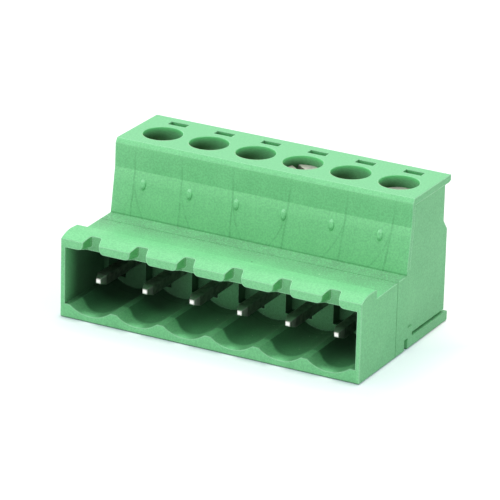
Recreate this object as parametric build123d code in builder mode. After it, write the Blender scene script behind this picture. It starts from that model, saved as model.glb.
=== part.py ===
from build123d import *
import math
import os

# Pluggable terminal block with a row of screw clamps and a shroud of male pins.
# X runs along the row, -Y points out of the plug face and +Z is up.
# The origin is under the middle of the block, on the table. Millimetres.

os.makedirs("parts", exist_ok=True)

# The row
pole_count = 6
pitch = 5.08
end_margin = 0.70  # plastic outside the last pole's share of the row

# Depths, from the plug face backwards
shroud_depth = 7.48  # plug face to the joint between the two mouldings
shoulder_depth = 1.84  # joint to the foot of the tower
tower_depth = 8.74  # foot of the tower to the wire side
cover_lip = 0.49  # base cover standing out behind the tower

# Heights of the tower
height = 15.0
upright_height = 2.86  # steep part of the tower's front, above the knee
tower_lean = 0.73  # how far the front leans back between foot and knee
upright_lean = 0.05
top_chamfer_down = 0.45
top_chamfer_back = 0.30
foot_blend = 0.22

# Cavity of the shroud
mouth_wall = 0.45
land_height = 1.40  # flat lands between the troughs, above the table
land_width = 0.65
trough_depth = 0.77
cavity_height = 5.20  # lands to ceiling
lead_in_height = 0.55
lead_in_depth = 2.33
pin_block_setback = 0.62  # front of the blocks that carry the pins, before the tower's foot
pin_block_width = 2.25
pocket_depth = 1.30
pocket_floor_rise = 0.10  # pocket floors above the lands
back_wall = 0.60

# Lip along the top of the mouth
lip_face_height = 0.80
ridge_rise = 0.89  # top of the ridge above the shroud's top
ridge_depth = 3.06
crest_depth = 1.85
crest_rise = 0.06
top_slope = 0.023  # rise of the shroud's top for each mm backwards
notch_front_low = 2.02
notch_front_high = 1.80
notch_back = 1.20
notch_back_corner = 0.16
notch_depth = 1.10
edge_round = 0.12
tab_corner = 0.42  # lower corners of the tabs that the notches leave
tab_corner_steps = 4  # flats that make each round corner
foot_chamfer = 0.10  # outer edges that meet the table

# Joint between the mouldings
fit_gap = 0.02
joint_chamfer = 0.06
cheek = 0.50  # side skin of the tower moulding round the plug of the shroud
plug_wall = 0.45
plug_roof_skin = 0.57  # tower moulding above the plug at the foot of the tower

# Base cover and the marks beside it
cover_thickness = 1.07
cover_gap = 0.70  # open gap in front of the cover
cover_gap_height = 1.15
cover_groove_height = 0.26
cover_groove_depth = 0.45
cover_tab_length = 0.90
cover_tab_height = 1.12
cover_round = 0.15
heel_gap = 0.06
locating_pad_height = 0.26
locating_pad_gap = 0.10

# Side panels, top plate and wire side
panel_recess = 0.16
plate_thickness = 0.68
rear_step = 0.82  # upper wire side, in front of the lower one
rear_step_height = 9.57
rear_step_slope = 1.00
plate_overhang = 0.88
plate_edge = 0.55  # upright rear edge of the top plate
plate_undercut = 0.27  # slope under that edge
panel_border = 0.40  # full-width strip along the tower's front
panel_foot_border = 0.62  # the same strip behind the tower's foot
panel_bend_rise = 1.15  # where that strip starts to lean, above the foot

# Driver bores and marking slots
bore_radius = 1.94
bore_setback = 4.27  # foot of the tower to the screw axis
bore_rim = 0.05
slot_length = 1.95
slot_width = 0.87
slot_depth = 0.50
slot_setback = 3.10  # screw axis to the middle of the slot

# Oval bumps on the tower's front
bump_width = 0.62
bump_length = 1.15
bump_relief = 0.18
bump_steps = 3  # rings from the foot of a bump to its crown
bump_drop = 4.10  # top of the block to the middle of a bump

# Contact: a square pin that steps up to a flat bar
pin_size = 1.00
pin_height = 3.77  # pin axis above the table
pin_tip_depth = 1.43  # plug face to the pin's end
pin_tip_size = 0.46
pin_tip_bevel = 0.07
pin_taper = 0.80
bar_thickness = 0.80
bar_side_gap = 0.10
bend_lead = 0.30  # the bar's upper bend lies before its lower one
bar_end_gap = 0.10

# Rising cage
cage_width = 4.00
cage_length = 3.60
cage_wall = 0.50
cage_floor = 0.70
cage_roof = 1.50
cage_corner = 0.35
cage_rest_gap = 0.12  # below the cage at rest
cage_side_gap = 0.15
cage_end_gap = 0.20
cage_top_gap = 0.20
wire_gap = 2.15  # open clamp, cage floor to bar
bar_roof_gap = 0.20
cage_travel = 2.00
grip_groove_width = 0.36
grip_groove_depth = 0.18
grip_groove_pitch = 0.90
grip_groove_count = 3

# Clamp screw
shank_radius = 1.45
thread_gap = 0.05
head_radius = 1.80
head_height = 1.80
head_bevel = 0.18
driver_slot_width = 0.60
driver_slot_depth = 0.90
tip_bevel = 0.35
tip_gap = 0.03
seated_head_depth = 1.75  # head of a screw that stands on its bar, below the top
backed_out = (0.0, 0.12, 0.05, 0.93, 0.42, 0.66)  # how far each screw is turned out
slot_angles = (24.0, -52.0, 71.0, -38.0, 16.0, 8.0)

# Wire entries
throat_width = 2.80
throat_height = 2.50
throat_length = 0.70
throat_corner = 0.50
funnel_width = 4.20
funnel_height = 4.40
funnel_lift = 0.45  # middle of the mouth above the middle of the throat
funnel_corner = 0.80

# Places worked out from the sizes above
width = pole_count * pitch + 2 * end_margin
depth = shroud_depth + shoulder_depth + tower_depth + cover_lip
pole_places = [(index - (pole_count - 1) / 2) * pitch for index in range(pole_count)]

front_y = -depth / 2
joint_y = front_y + shroud_depth
foot_y = joint_y + shoulder_depth
knee_y = foot_y + tower_lean
tower_front_y = knee_y + upright_lean
rear_y = foot_y + tower_depth
upper_rear_y = rear_y - rear_step
plate_rear_y = upper_rear_y + plate_overhang
cover_rear_y = rear_y + cover_lip
cover_front_y = foot_y + cover_gap
screw_y = foot_y + bore_setback

ceiling_z = land_height + cavity_height
plug_top_z = ceiling_z + plug_wall
mouth_top_z = plug_top_z + fit_gap
foot_z = mouth_top_z + plug_roof_skin
knee_z = height - upright_height
heel_z = cover_thickness + heel_gap
plate_z = height - plate_thickness

inner_half = width / 2 - mouth_wall
mouth_half = width / 2 - cheek
plug_half = mouth_half - fit_gap
plug_inner_half = plug_half - plug_wall
pin_blocks_y = foot_y - pin_block_setback
pocket_back_y = pin_blocks_y + pocket_depth
plug_rear_y = pocket_back_y + back_wall
mouth_rear_y = plug_rear_y + fit_gap

chamber_width = cage_width + 2 * cage_side_gap
chamber_rear_y = screw_y + cage_length / 2 + cage_end_gap
cage_front_y = screw_y - cage_length / 2
cage_base_z = cover_thickness + locating_pad_height + cage_rest_gap
cage_floor_z = cage_base_z + cage_floor
bar_z = cage_floor_z + wire_gap
bar_top_z = bar_z + bar_thickness
cage_roof_z = bar_top_z + bar_roof_gap
cage_top_z = cage_roof_z + cage_roof
chamber_top_z = cage_top_z + cage_travel + cage_top_gap
window_width = cage_width - 2 * cage_wall
bar_width = window_width - 2 * bar_side_gap
wire_z = cage_floor_z + wire_gap / 2
tip_z = bar_top_z + tip_gap
screw_length = height - seated_head_depth - tip_z


def shroud_top_at(y):
    """Height of the sloping top of shroud and shoulder at a depth."""
    return foot_z - (foot_y - y) * top_slope


def front_plane(y):
    """Upright plane facing out of the plug side, with Z as its second direction."""
    return Plane.XZ.offset(-y)


def side_view(points):
    """Face of a side view, given as (y, z) points."""
    with BuildSketch(Plane.YZ) as view:
        with BuildLine():
            Polyline(*points, close=True)
        make_face()
    return view.sketch


def foot_wedges():
    """Ends of the two wedges that bevel the side edges where they meet the table."""
    with BuildSketch(front_plane(front_y)) as wedges:
        for side in (-1, 1):
            with BuildLine():
                Polyline(
                    (side * width / 2, 0),
                    (side * (width / 2 - foot_chamfer), 0),
                    (side * width / 2, foot_chamfer),
                    close=True,
                )
            make_face()
    return wedges.sketch


def blend(level, low_level, high_level, low_value, high_value):
    """Value on the straight line through two levels."""
    share = (level - low_level) / (high_level - low_level)
    return low_value + share * (high_value - low_value)


# Pin shroud: open frame with a lip, a floor of troughs and a plug at the back
ridge_y = front_y + ridge_depth
crest_y = front_y + crest_depth
ridge_top_z = shroud_top_at(ridge_y) + ridge_rise
crest_z = ridge_top_z + crest_rise
lip_low_z = ceiling_z + lead_in_height
lip_high_z = lip_low_z + lip_face_height
trough_half = (pitch - land_width) / 2
trough_z = land_height - trough_depth

with BuildPart() as shroud:
    with BuildSketch(Plane.YZ):
        with BuildLine():
            frame_line = Polyline(
                (front_y, lip_high_z),
                (front_y, foot_chamfer),
                (front_y + foot_chamfer, 0),
                (joint_y, 0),
                (joint_y, shroud_top_at(joint_y)),
                (ridge_y, shroud_top_at(ridge_y)),
                (ridge_y, ridge_top_z),
                (crest_y, crest_z),
            )
            TangentArc(frame_line @ 1, frame_line @ 0, tangent=(-1, 0))
        make_face()
    extrude(amount=width / 2, both=True)
    extrude(foot_wedges(), amount=-depth, mode=Mode.SUBTRACT)
    rear_rim = shroud.faces().sort_by(Axis.Y)[-1]
    chamfer(rear_rim.edges(), joint_chamfer)
    ridge_edges = shroud.edges().filter_by(Axis.X).group_by(Axis.Z)[-2:]
    fillet([edge for group in ridge_edges for edge in group], edge_round)

    # the plug that enters the tower moulding, with a heel over the base cover
    plug_view = side_view(
        [
            (joint_y - joint_chamfer, 0),
            (foot_y, 0),
            (foot_y, heel_z),
            (plug_rear_y, heel_z),
            (plug_rear_y, plug_top_z),
            (joint_y - joint_chamfer, plug_top_z),
        ]
    )
    extrude(plug_view, amount=plug_half, both=True)

    # the cavity: a wide mouth, then the narrower inside of the plug
    for half_width, start_y, end_y in (
        (inner_half, front_y, joint_y),
        (plug_inner_half, joint_y, pin_blocks_y),
    ):
        with BuildSketch(front_plane(start_y)):
            with Locations((0, land_height + cavity_height / 2)):
                Rectangle(2 * half_width, cavity_height)
            for x in pole_places:
                with BuildLine():
                    chord = Line((x - trough_half, land_height), (x + trough_half, land_height))
                    ThreePointArc(chord @ 0, (x, trough_z), chord @ 1)
                make_face()
        extrude(amount=start_y - end_y, mode=Mode.SUBTRACT)

    # lead-in above the mouth
    lead_in_view = side_view(
        [
            (front_y, pin_height),
            (front_y, lip_low_z),
            (front_y + lead_in_depth, ceiling_z),
            (front_y + lead_in_depth, pin_height),
        ]
    )
    extrude(lead_in_view, amount=inner_half, both=True, mode=Mode.SUBTRACT)

    # pockets between the blocks that carry the pins
    pocket_floor_z = land_height + pocket_floor_rise
    with BuildSketch(front_plane(pin_blocks_y)):
        with Locations((0, (pocket_floor_z + ceiling_z) / 2)):
            Rectangle(2 * plug_inner_half, ceiling_z - pocket_floor_z)
        with Locations(*[(x, (pocket_floor_z + ceiling_z) / 2) for x in pole_places]):
            Rectangle(pin_block_width, ceiling_z - pocket_floor_z, mode=Mode.SUBTRACT)
    extrude(amount=-pocket_depth, mode=Mode.SUBTRACT)

    # holes for the pins
    with BuildSketch(front_plane(pin_blocks_y)):
        with Locations(*[(x, pin_height) for x in pole_places]):
            Rectangle(pin_size + 2 * fit_gap, pin_size + 2 * fit_gap)
    extrude(amount=-(plug_rear_y - pin_blocks_y), mode=Mode.SUBTRACT)

    # one notch in the lip in front of each pin, a little narrower towards the top and the
    # back, with round lower corners on the tabs that it leaves
    notch_span = (lip_low_z, lip_high_z)
    notch_levels = [(ceiling_z, tab_corner)]
    for step in range(tab_corner_steps + 1):
        corner_angle = math.pi / 2 * step / tab_corner_steps
        corner_z = lip_low_z + tab_corner * (1 - math.cos(corner_angle))
        notch_levels.append((corner_z, tab_corner * (1 - math.sin(corner_angle))))
    notch_levels.append((crest_z + edge_round, 0))
    for x in pole_places:
        for level_z, rounding in notch_levels:
            front_half = blend(level_z, *notch_span, notch_front_low, notch_front_high) / 2
            back_half = notch_back / 2
            outer_half = 2 * front_half - back_half
            with BuildSketch(Plane.XY.offset(level_z)):
                with BuildLine():
                    Polyline(
                        (x - outer_half - rounding, front_y - notch_depth),
                        (x + outer_half + rounding, front_y - notch_depth),
                        (x + back_half + rounding, front_y + notch_depth - notch_back_corner),
                        (x + back_half + rounding - notch_back_corner, front_y + notch_depth),
                        (x - back_half - rounding + notch_back_corner, front_y + notch_depth),
                        (x - back_half - rounding, front_y + notch_depth - notch_back_corner),
                        close=True,
                    )
                make_face()
        loft(ruled=True, mode=Mode.SUBTRACT)

shroud.part.label = "pin_shroud"
export_step(shroud.part, "parts/pin_shroud.step")


# Tower moulding: screw chambers, driver bores, wire entries and the shoulder
chamber_places = [(x, (mouth_rear_y + chamber_rear_y) / 2) for x in pole_places]
chamber_length = chamber_rear_y - mouth_rear_y
tab_rear_y = cover_front_y + cover_tab_length
tab_top_z = cover_thickness + cover_tab_height
groove_top_z = cover_thickness + cover_groove_height
panel_front_y = foot_y + panel_foot_border
step_top_z = rear_step_height + rear_step_slope
plate_edge_z = height - plate_edge
slot_y = screw_y + slot_setback
throat_end_y = chamber_rear_y + throat_length
lean_angle = math.atan2(tower_lean, knee_z - foot_z)
bump_z = height - bump_drop
bump_y = foot_y + (bump_z - foot_z) * math.tan(lean_angle)

with BuildPart() as tower:
    with BuildSketch(Plane.YZ):
        with BuildLine():
            Polyline(
                (joint_y, 0),
                (foot_y, 0),
                (foot_y, cover_gap_height),
                (cover_front_y, cover_gap_height),
                (cover_front_y, cover_thickness),
                (rear_y, cover_thickness),
                (rear_y, rear_step_height),
                (upper_rear_y, step_top_z),
                (upper_rear_y, plate_edge_z - plate_undercut),
                (plate_rear_y, plate_edge_z),
                (plate_rear_y, height),
                (tower_front_y + top_chamfer_back, height),
                (tower_front_y, height - top_chamfer_down),
                (knee_y, knee_z),
                (foot_y, foot_z),
                (joint_y, shroud_top_at(joint_y)),
                close=True,
            )
        outline = make_face()
        corners = outline.vertices()
        fillet(corners.sort_by_distance((0, foot_y, foot_z))[0], foot_blend)
    extrude(amount=width / 2, both=True)
    extrude(foot_wedges(), amount=-depth, mode=Mode.SUBTRACT)

    # mouth for the plug of the shroud, then one chamber for each pole
    mouth_view = side_view(
        [
            (joint_y, -cover_thickness),
            (mouth_rear_y, -cover_thickness),
            (mouth_rear_y, mouth_top_z),
            (joint_y, mouth_top_z),
        ]
    )
    extrude(mouth_view, amount=mouth_half, both=True, mode=Mode.SUBTRACT)
    with BuildSketch(Plane.XY.offset(cover_thickness)):
        with Locations(*chamber_places):
            Rectangle(chamber_width, chamber_length)
    extrude(amount=chamber_top_z - cover_thickness, mode=Mode.SUBTRACT)

    # bores for the screwdriver and the screw heads
    with BuildSketch(Plane.XY.offset(height)):
        with Locations(*[(x, screw_y) for x in pole_places]):
            Circle(bore_radius)
    extrude(amount=chamber_top_z - height, mode=Mode.SUBTRACT)
    rims = tower.edges().filter_by(GeomType.CIRCLE).group_by(Axis.Z)[-1]
    chamfer(rims, bore_rim)

    # marking slots behind the bores
    with BuildSketch(Plane.XY.offset(height)):
        with Locations(*[(x, slot_y) for x in pole_places]):
            Rectangle(slot_length, slot_width)
    extrude(amount=-slot_depth, mode=Mode.SUBTRACT)

    # wire entries: a straight throat and a funnel that opens towards the wire side
    with BuildSketch(front_plane(chamber_rear_y)):
        with Locations(*[(x, wire_z) for x in pole_places]):
            RectangleRounded(throat_width, throat_height, throat_corner)
    extrude(amount=-throat_length, mode=Mode.SUBTRACT)
    for x in pole_places:
        with BuildSketch(front_plane(throat_end_y)):
            with Locations((x, wire_z)):
                RectangleRounded(throat_width, throat_height, throat_corner)
        with BuildSketch(front_plane(rear_y)):
            with Locations((x, wire_z + funnel_lift)):
                RectangleRounded(funnel_width, funnel_height, funnel_corner)
        loft(mode=Mode.SUBTRACT)

    # side panels, a little recessed, and the grooves above the base cover
    panel_view = side_view(
        [
            (panel_front_y, tab_top_z),
            (panel_front_y, foot_z + panel_bend_rise),
            (knee_y + panel_border, knee_z),
            (tower_front_y + panel_border, plate_z),
            (cover_rear_y, plate_z),
            (cover_rear_y, 0),
            (tab_rear_y, 0),
            (tab_rear_y, tab_top_z),
        ]
    )
    groove_view = side_view(
        [
            (tab_rear_y, 0),
            (cover_rear_y, 0),
            (cover_rear_y, groove_top_z),
            (tab_rear_y, groove_top_z),
        ]
    )
    for view, cut_depth in ((panel_view, panel_recess), (groove_view, cover_groove_depth)):
        for side in (-1, 1):
            inner_face = view.moved(Location((side * (width / 2 - cut_depth), 0, 0)))
            extrude(inner_face, amount=side * cut_depth, mode=Mode.SUBTRACT)

    # oval bumps on the leaning front, domed by rings that shrink towards the crown
    bump_out = (0, -math.cos(lean_angle), math.sin(lean_angle))
    for x in pole_places:
        bump_plane = Plane(origin=(x, bump_y, bump_z), x_dir=(1, 0, 0), z_dir=bump_out)
        for step in range(bump_steps):
            dome_angle = math.pi / 2 * step / bump_steps
            ring_share = math.cos(dome_angle)
            with BuildSketch(bump_plane.offset(bump_relief * math.sin(dome_angle))):
                Ellipse(bump_width / 2 * ring_share, bump_length / 2 * ring_share)
        loft(ruled=True)

tower.part.label = "main_housing"
export_step(tower.part, "parts/main_housing.step")


# Base cover: a plate under the chambers with a locating pad in each
pad_width = chamber_width - 2 * locating_pad_gap
pad_length = chamber_length - 2 * locating_pad_gap

with BuildPart() as cover:
    with BuildSketch(Plane.YZ):
        with BuildLine():
            Polyline(
                (cover_front_y, 0),
                (cover_rear_y, 0),
                (cover_rear_y, cover_thickness),
                (cover_front_y, cover_thickness),
                close=True,
            )
        plate = make_face()
        fillet(plate.vertices().group_by(Axis.Y)[-1], cover_round)
    extrude(amount=width / 2, both=True)
    extrude(foot_wedges(), amount=-depth, mode=Mode.SUBTRACT)
    with BuildSketch(Plane.XY.offset(cover_thickness)):
        with Locations(*chamber_places):
            Rectangle(pad_width, pad_length)
    extrude(amount=locating_pad_height)

cover.part.label = "base_cover"
export_step(cover.part, "parts/base_cover.step")


def make_contact(x):
    """One stamped contact: a square pin, a step up and the bar inside the cage."""
    root_y = plug_rear_y
    tip_y = front_y + pin_tip_depth
    full_y = tip_y + pin_taper
    rise_y = cage_front_y - bar_end_gap
    bar_rear_y = chamber_rear_y - bar_end_gap
    with BuildPart() as contact:
        with BuildSketch(front_plane(tip_y)):
            with Locations((x, pin_height)):
                Rectangle(pin_tip_size, pin_tip_size)
        with BuildSketch(front_plane(full_y)):
            with Locations((x, pin_height)):
                Rectangle(pin_size, pin_size)
        loft()
        tip = contact.faces().sort_by(Axis.Y)[0]
        chamfer(tip.edges(), pin_tip_bevel)
        with BuildSketch(front_plane(full_y)):
            with Locations((x, pin_height)):
                Rectangle(pin_size, pin_size)
        extrude(amount=-(root_y - full_y))
        with BuildSketch(Plane.YZ.offset(x)):
            with BuildLine():
                Polyline(
                    (root_y, pin_height - pin_size / 2),
                    (rise_y, bar_z),
                    (bar_rear_y, bar_z),
                    (bar_rear_y, bar_top_z),
                    (rise_y - bend_lead, bar_top_z),
                    (root_y, pin_height + pin_size / 2),
                    close=True,
                )
            make_face()
        extrude(amount=bar_width / 2, both=True)
    return contact.part


def make_cage(x):
    """One rising cage: a box round the bar, with the screw's thread in its roof."""
    cage_height = cage_top_z - cage_base_z
    window_height = cage_roof_z - cage_floor_z
    groove_span = [(index - (grip_groove_count - 1) / 2) * grip_groove_pitch
                   for index in range(grip_groove_count)]
    with BuildPart() as cage:
        with BuildSketch(Plane.XY.offset(cage_base_z)):
            with Locations((x, screw_y)):
                Rectangle(cage_width, cage_length)
        extrude(amount=cage_height)
        fillet(cage.edges().filter_by(Axis.Y), cage_corner)
        with BuildSketch(Plane.YZ.offset(x)):
            with Locations((screw_y, cage_floor_z + window_height / 2)):
                Rectangle(cage_length, window_height)
            for y in groove_span:
                with BuildLine():
                    Polyline(
                        (screw_y + y - grip_groove_width / 2, cage_floor_z),
                        (screw_y + y, cage_floor_z - grip_groove_depth),
                        (screw_y + y + grip_groove_width / 2, cage_floor_z),
                        close=True,
                    )
                make_face()
        extrude(amount=window_width / 2, both=True, mode=Mode.SUBTRACT)
        with BuildSketch(Plane.XY.offset(cage_roof_z)):
            with Locations((x, screw_y)):
                Circle(shank_radius + thread_gap)
        extrude(amount=cage_roof, mode=Mode.SUBTRACT)
    return cage.part


def make_screw(x, turned_out, slot_angle):
    """One slotted clamp screw, standing turned out of the clamp by a height."""
    base_z = tip_z + turned_out
    head_z = base_z + screw_length - head_height
    with BuildPart() as screw:
        with BuildSketch(Plane.XY.offset(base_z)):
            with Locations((x, screw_y)):
                Circle(shank_radius)
        extrude(amount=screw_length - head_height)
        chamfer(screw.edges().group_by(Axis.Z)[0], tip_bevel)
        with BuildSketch(Plane.XY.offset(head_z)):
            with Locations((x, screw_y)):
                Circle(head_radius)
        extrude(amount=head_height)
        chamfer(screw.edges().group_by(Axis.Z)[-1], head_bevel)
        with BuildSketch(Plane.XY.offset(head_z + head_height)):
            with Locations(Location((x, screw_y), slot_angle)):
                Rectangle(2 * head_radius, driver_slot_width)
        extrude(amount=-driver_slot_depth, mode=Mode.SUBTRACT)
    return screw.part


for index, x in enumerate(pole_places):
    clamp_pieces = {
        "contact_pin": make_contact(x),
        "clamp_cage": make_cage(x),
        "clamp_screw": make_screw(
            x, backed_out[index % len(backed_out)], slot_angles[index % len(slot_angles)]
        ),
    }
    for name, piece in clamp_pieces.items():
        piece.label = f"{name}_{index + 1}"
        export_step(piece, f"parts/{piece.label}.step")
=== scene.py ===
"""Looks of a six-pole pluggable terminal block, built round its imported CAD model."""

import logging
import math
from collections.abc import Sequence
from dataclasses import dataclass, field
from enum import Enum

import bpy
import numpy as np
from mathutils import Matrix, Vector


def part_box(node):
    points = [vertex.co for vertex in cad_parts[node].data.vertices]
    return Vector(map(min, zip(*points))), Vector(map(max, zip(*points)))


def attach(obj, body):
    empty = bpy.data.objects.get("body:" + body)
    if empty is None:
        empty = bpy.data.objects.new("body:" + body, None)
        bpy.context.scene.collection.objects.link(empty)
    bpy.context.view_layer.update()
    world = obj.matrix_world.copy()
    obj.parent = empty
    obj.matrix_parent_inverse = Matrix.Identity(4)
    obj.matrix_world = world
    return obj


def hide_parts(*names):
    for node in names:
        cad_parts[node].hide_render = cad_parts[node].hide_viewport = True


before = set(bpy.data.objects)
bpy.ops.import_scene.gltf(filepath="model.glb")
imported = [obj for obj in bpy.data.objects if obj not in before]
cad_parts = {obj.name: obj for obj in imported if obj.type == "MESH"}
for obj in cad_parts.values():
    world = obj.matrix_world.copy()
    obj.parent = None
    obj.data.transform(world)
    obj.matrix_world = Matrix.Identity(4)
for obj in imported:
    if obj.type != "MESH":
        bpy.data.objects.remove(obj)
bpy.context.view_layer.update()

LOG = logging.getLogger("terminal_block")
MM = 0.001
PITCH = 5.08
POLES = 6
POLE_PLACES = tuple((index - (POLES - 1) / 2) * PITCH for index in range(POLES))
FLOAT, VECTOR = "NodeSocketFloat", "NodeSocketVector"

Socket = bpy.types.NodeSocket
Value = float | Socket
Colour = tuple[float, float, float, float]
Inputs = dict[str | int, Value | Colour | Vector]


class Blend(Enum):
    """How a layer of colour goes over what is below it."""

    COVER = "MIX"
    TINT = "MULTIPLY"


Layer = tuple[Value, Colour, Blend]


def cover(mask: Value, colour: Colour) -> Layer:
    """A layer that hides what is below it."""
    return mask, colour, Blend.COVER


def tint(mask: Value, colour: Colour) -> Layer:
    """A layer that multiplies what is below it."""
    return mask, colour, Blend.TINT


@dataclass(frozen=True)
class Ramp:
    """A smooth step: the two values of a measure between which it lies, and what it gives there."""

    start: float
    end: float
    low: float = 0.0
    high: float = 1.0


@dataclass(frozen=True)
class Span:
    """A hard step: 1 from the lowest to the highest value of a measure, and 0 elsewhere."""

    lowest: float = -50.0
    highest: float = 50.0


Step = Ramp | Span


@dataclass(frozen=True)
class Zone:
    """A part of the surface: the product of its steps over millimetres or parts of the normal."""

    across: Step | None = None
    back: Step | None = None
    high: Step | None = None
    east: Step | None = None
    sideways: Step | None = None
    north: Step | None = None
    up: Step | None = None


class Graph:
    """Short calls for building one node tree."""

    def __init__(self, tree: bpy.types.NodeTree) -> None:
        """Empties the node tree of a material, a world or a group."""
        self.tree = tree
        tree.nodes.clear()

    def add(self, kind: str, inputs: Inputs | None = None, **settings: object) -> bpy.types.Node:
        """Adds a node.

        Args:
            kind: the node's Blender type.
            inputs: links and plain values, by the name or number of an input.
            settings: properties of the node itself.

        Returns:
            The new node.
        """
        node = self.tree.nodes.new(kind)
        for name, value in settings.items():
            setattr(node, name, value)
        self.feed(node, inputs or {})
        return node

    def feed(self, node: bpy.types.Node, inputs: Inputs) -> None:
        """Links inputs of a node to other nodes, or sets their plain values.

        Args:
            node: the node.
            inputs: links and plain values, by the name or number of an input.
        """
        for key, value in inputs.items():
            if isinstance(value, bpy.types.NodeSocket):
                self.tree.links.new(value, node.inputs[key])
            else:
                node.inputs[key].default_value = value

    def maths(self, operation: str, *values: Value, clamp: bool = False) -> Socket:
        """The result of a Math node; clamp keeps it from 0 to 1."""
        inputs = dict(enumerate(values))
        return self.add("ShaderNodeMath", inputs, operation=operation, use_clamp=clamp).outputs[0]

    def product(self, first: Value, *others: Value) -> Value:
        """Multiplies values, one after the other."""
        for other in others:
            first = self.maths("MULTIPLY", first, other)
        return first

    def largest(self, first: Value, *others: Value) -> Value:
        """The largest of some values."""
        for other in others:
            first = self.maths("MAXIMUM", first, other)
        return first

    def rest(self, value: Value) -> Socket:
        """What a value leaves of 1."""
        return self.maths("SUBTRACT", 1.0, value)

    def off(self, value: Value, middle: float) -> Socket:
        """How far a value is from the middle, without its sign."""
        return self.maths("ABSOLUTE", self.maths("SUBTRACT", value, middle))

    def vector(self, operation: str, *values: Socket | Vector) -> bpy.types.NodeOutputs:
        """Adds a Vector Math node and gives its outputs."""
        inputs = dict(enumerate(values))
        return self.add("ShaderNodeVectorMath", inputs, operation=operation).outputs

    def fade(self, value: Value, start: Value, end: Value,
             low: Value = 0.0, high: Value = 1.0) -> Socket:
        """A smooth step from low to high as a value goes from start to end."""
        ends = {"Value": value, "From Min": start, "From Max": end, "To Min": low, "To Max": high}
        return self.add("ShaderNodeMapRange", ends, interpolation_type="SMOOTHSTEP").outputs[0]

    def step(self, value: Value, step: Step) -> Socket:
        """The mask that a step makes of a value.

        Args:
            value: what is measured.
            step: a smooth or a hard step.

        Returns:
            The mask.
        """
        if isinstance(step, Span):
            half = (step.highest - step.lowest) / 2
            return self.maths("COMPARE", value, step.lowest + half, half)
        return self.fade(value, step.start, step.end, step.low, step.high)

    def noise(self, place: Socket, scale: Value, detail: float = 2.0, rough: float = 0.5) -> Socket:
        """Noise from 0 to 1, with scale in features for each metre and detail in octaves."""
        inputs = {"Vector": place, "Scale": scale, "Detail": detail, "Roughness": rough}
        return self.add("ShaderNodeTexNoise", inputs).outputs["Fac"]

    def specks(self, place: Socket, scale: Value, empty: float, largest: float,
               core: float) -> Socket:
        """Round specks of random size, at most one in each cell of a Voronoi pattern.

        A cell's random number gives its speck's radius, and the distance to the cell's point, set
        against that radius, gives the speck.

        Args:
            place: the point that they are read at.
            scale: cells for each metre.
            empty: share of the cells that hold no speck.
            largest: radius of the largest speck, in cells.
            core: share of its radius in which a speck is solid.

        Returns:
            The mask of the specks.
        """
        cells = self.add("ShaderNodeTexVoronoi", {"Vector": place, "Scale": scale}).outputs
        chance = self.add("ShaderNodeSeparateColor", {0: cells["Color"]}).outputs[0]
        radius = self.product(self.fade(chance, empty, 1.0), largest)
        return self.fade(cells["Distance"], radius, self.product(radius, core))

    def colours(self, share: Value, first: Socket | Colour, second: Socket | Colour,
                blend: Blend = Blend.COVER) -> Socket:
        """A first colour with a share of the second one over it."""
        inputs, mode = {0: share, 6: first, 7: second}, blend.value
        return self.add("ShaderNodeMix", inputs, data_type="RGBA", blend_type=mode).outputs[2]

    def layered(self, colour: Socket, layers: Sequence[Layer]) -> Socket:
        """Puts layers over a colour, the first one lowest."""
        for mask, paint, blend in layers:
            colour = self.colours(mask, colour, paint, blend)
        return colour

    def split(self, vector: Socket) -> tuple[Socket, Socket, Socket]:
        """The three parts of a vector."""
        parts = self.add("ShaderNodeSeparateXYZ", {0: vector}).outputs
        return parts[0], parts[1], parts[2]

    def place(self) -> Socket:
        """The point on the surface, in metres in the block's own frame."""
        return self.add("ShaderNodeTexCoord").outputs["Object"]

    def bump(self, height: Socket, normal: Socket, strength: float, depth: float) -> Socket:
        """A normal bumped by a height from 0 to 1, where depth in millimetres is the height of 1."""
        inputs = {"Height": height, "Normal": normal, "Strength": strength, "Distance": depth * MM}
        return self.add("ShaderNodeBump", inputs).outputs["Normal"]


class Surface:
    """The point on the surface, in millimetres in the block's frame, and the way it faces."""

    def __init__(self, graph: Graph) -> None:
        """Splits place and normal into their parts.

        Args:
            graph: the tree that reads them.
        """
        self.graph = graph
        place = graph.vector("MULTIPLY", graph.place(), Vector((1 / MM, 1 / MM, 1 / MM)))
        self.across, self.back, self.high = graph.split(place["Vector"])
        normal = graph.add("ShaderNodeNewGeometry").outputs["Normal"]
        self.east, self.north, self.up = graph.split(normal)

    @property
    def sideways(self) -> Socket:
        """How squarely the surface faces left or right, from 0 to 1."""
        return self.graph.maths("ABSOLUTE", self.east)

    def zone(self, zone: Zone) -> Value:
        """The mask of a zone."""
        steps = [(name, step) for name, step in vars(zone).items() if step]
        return self.graph.product(*(self.graph.step(getattr(self, name), step)
                                    for name, step in steps))

    def both(self, *zones: Zone) -> Value:
        """The mask of what lies in all of some zones."""
        return self.graph.product(*map(self.zone, zones))

    def either(self, *zones: Zone) -> Value:
        """The mask of what lies in any of some zones."""
        return self.graph.largest(*map(self.zone, zones))

    def from_pole(self) -> Socket:
        """Distance across to the nearest pole, in millimetres with its sign.

        It is what is left of the place across, in pitches, after its whole pitches, less a half.
        """
        pitches = self.graph.product(self.across, 1 / PITCH)
        share = self.graph.maths("SUBTRACT", self.graph.maths("FRACT", pitches), 0.5)
        return self.graph.product(share, PITCH)

    def from_axis(self, along: Socket) -> Socket:
        """Distance to a line through the nearest pole: the root of the two squares' sum."""
        away = self.from_pole()
        squares = self.graph.maths("MULTIPLY_ADD", away, away, self.graph.product(along, along))
        return self.graph.maths("SQRT", squares)


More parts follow.
